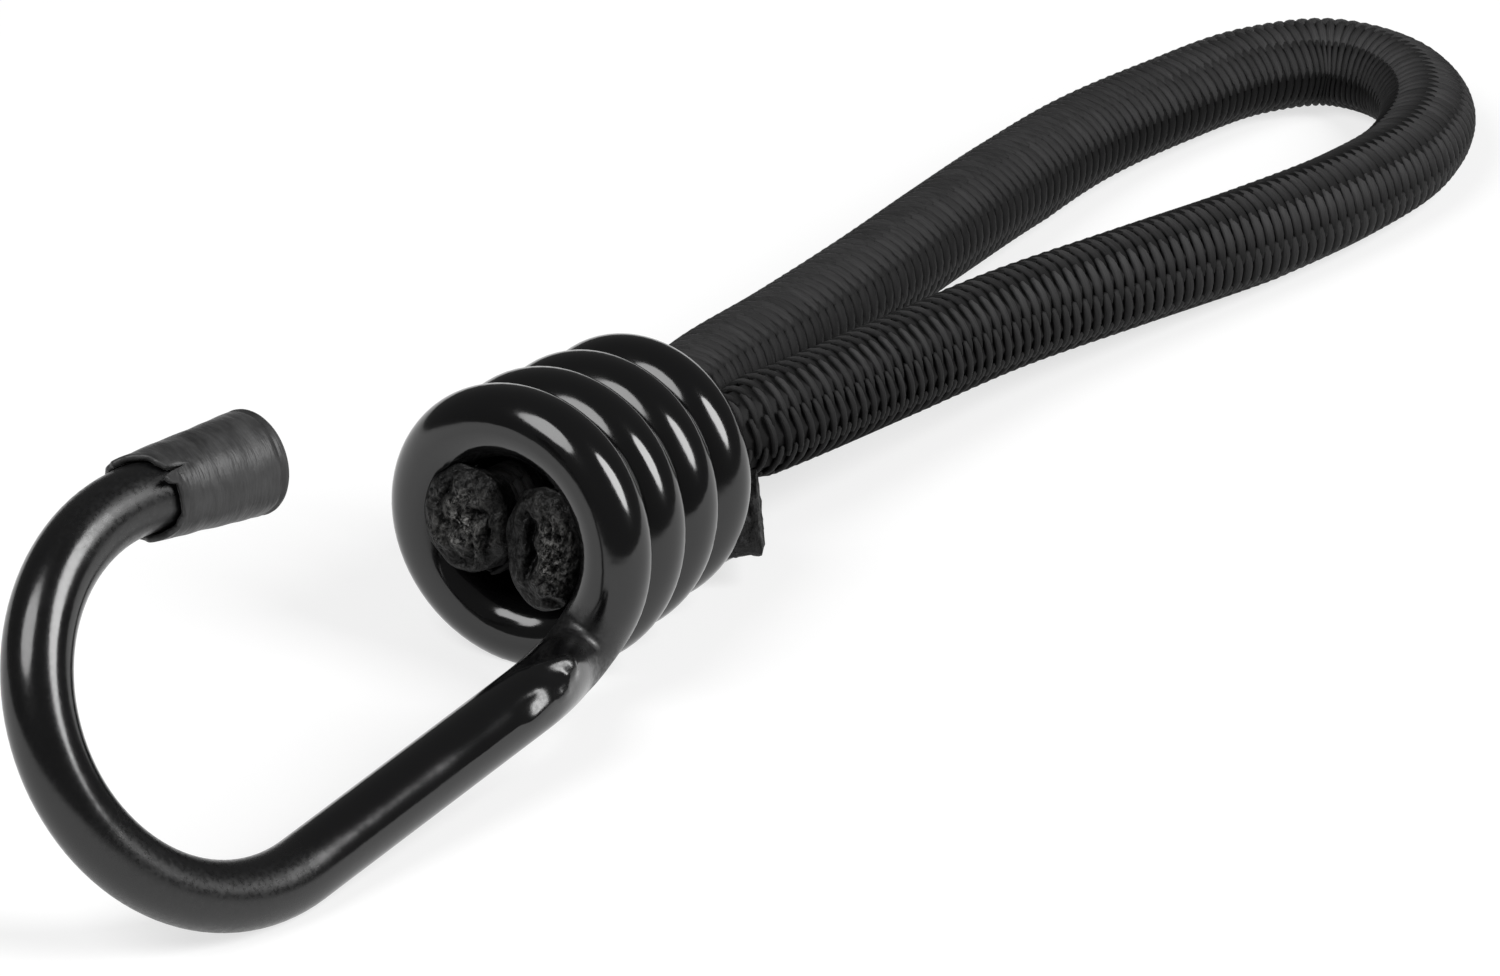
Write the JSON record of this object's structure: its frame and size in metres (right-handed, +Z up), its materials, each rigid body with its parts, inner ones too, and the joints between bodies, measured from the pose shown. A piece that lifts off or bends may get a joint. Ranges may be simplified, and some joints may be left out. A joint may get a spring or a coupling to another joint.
{
  "type": "bungee cord",
  "caption": "Short black elastic cord loop, its two ends clamped in a coil-wound, plastic-coated wire hook with a capped tip, for tying down or hanging things.",
  "frame": {"origin": "middle of the flat under the coil's first turn, where the part stands", "axes": "+X along the coil towards the loop, +Z up from the surface it lies on, the hook's leg at -Y"},
  "size_m": [0.1885, 0.0379, 0.0324],
  "materials": {
    "steel": "drawn wire",
    "coat": "glossy dip coat",
    "vinyl": "dull moulded",
    "braid": "woven, matt",
    "rubber": "cut, matt"
  },
  "bodies": {
    "hook": {"hook_core": "steel", "hook_coating": "coat", "tip_cap": "vinyl", "held_sheath_near": "braid", "held_sheath_far": "braid", "held_rubber_near": "rubber", "held_rubber_far": "rubber"},
    "strands": {"flex_near_sheath": "braid", "flex_near_rubber": "rubber", "flex_far_sheath": "braid", "flex_far_rubber": "rubber", "stretch_near_sheath": "braid", "stretch_near_rubber": "rubber", "stretch_far_sheath": "braid", "stretch_far_rubber": "rubber"},
    "loop_end": {"bight_sheath": "braid", "bight_rubber": "rubber"}
  },
  "joints": [
    {"name": "loop_flex", "type": "hinge", "parent": "hook", "child": "strands", "pos_m": [0.02141, 0, 0.00939], "axis": [0, -1, 0], "range_deg": [-60, 60], "stiffness_Nm_per_rad": 0.05, "deforming": ["flex_near_sheath", "flex_near_rubber", "flex_far_sheath", "flex_far_rubber"]},
    {"name": "loop_stretch", "type": "slide", "parent": "strands", "child": "loop_end", "axis": [1, 0, 0], "range_m": [0, 0.07], "stiffness_N_per_m": 1600, "deforming": ["stretch_near_sheath", "stretch_near_rubber", "stretch_far_sheath", "stretch_far_rubber"]}
  ]
}
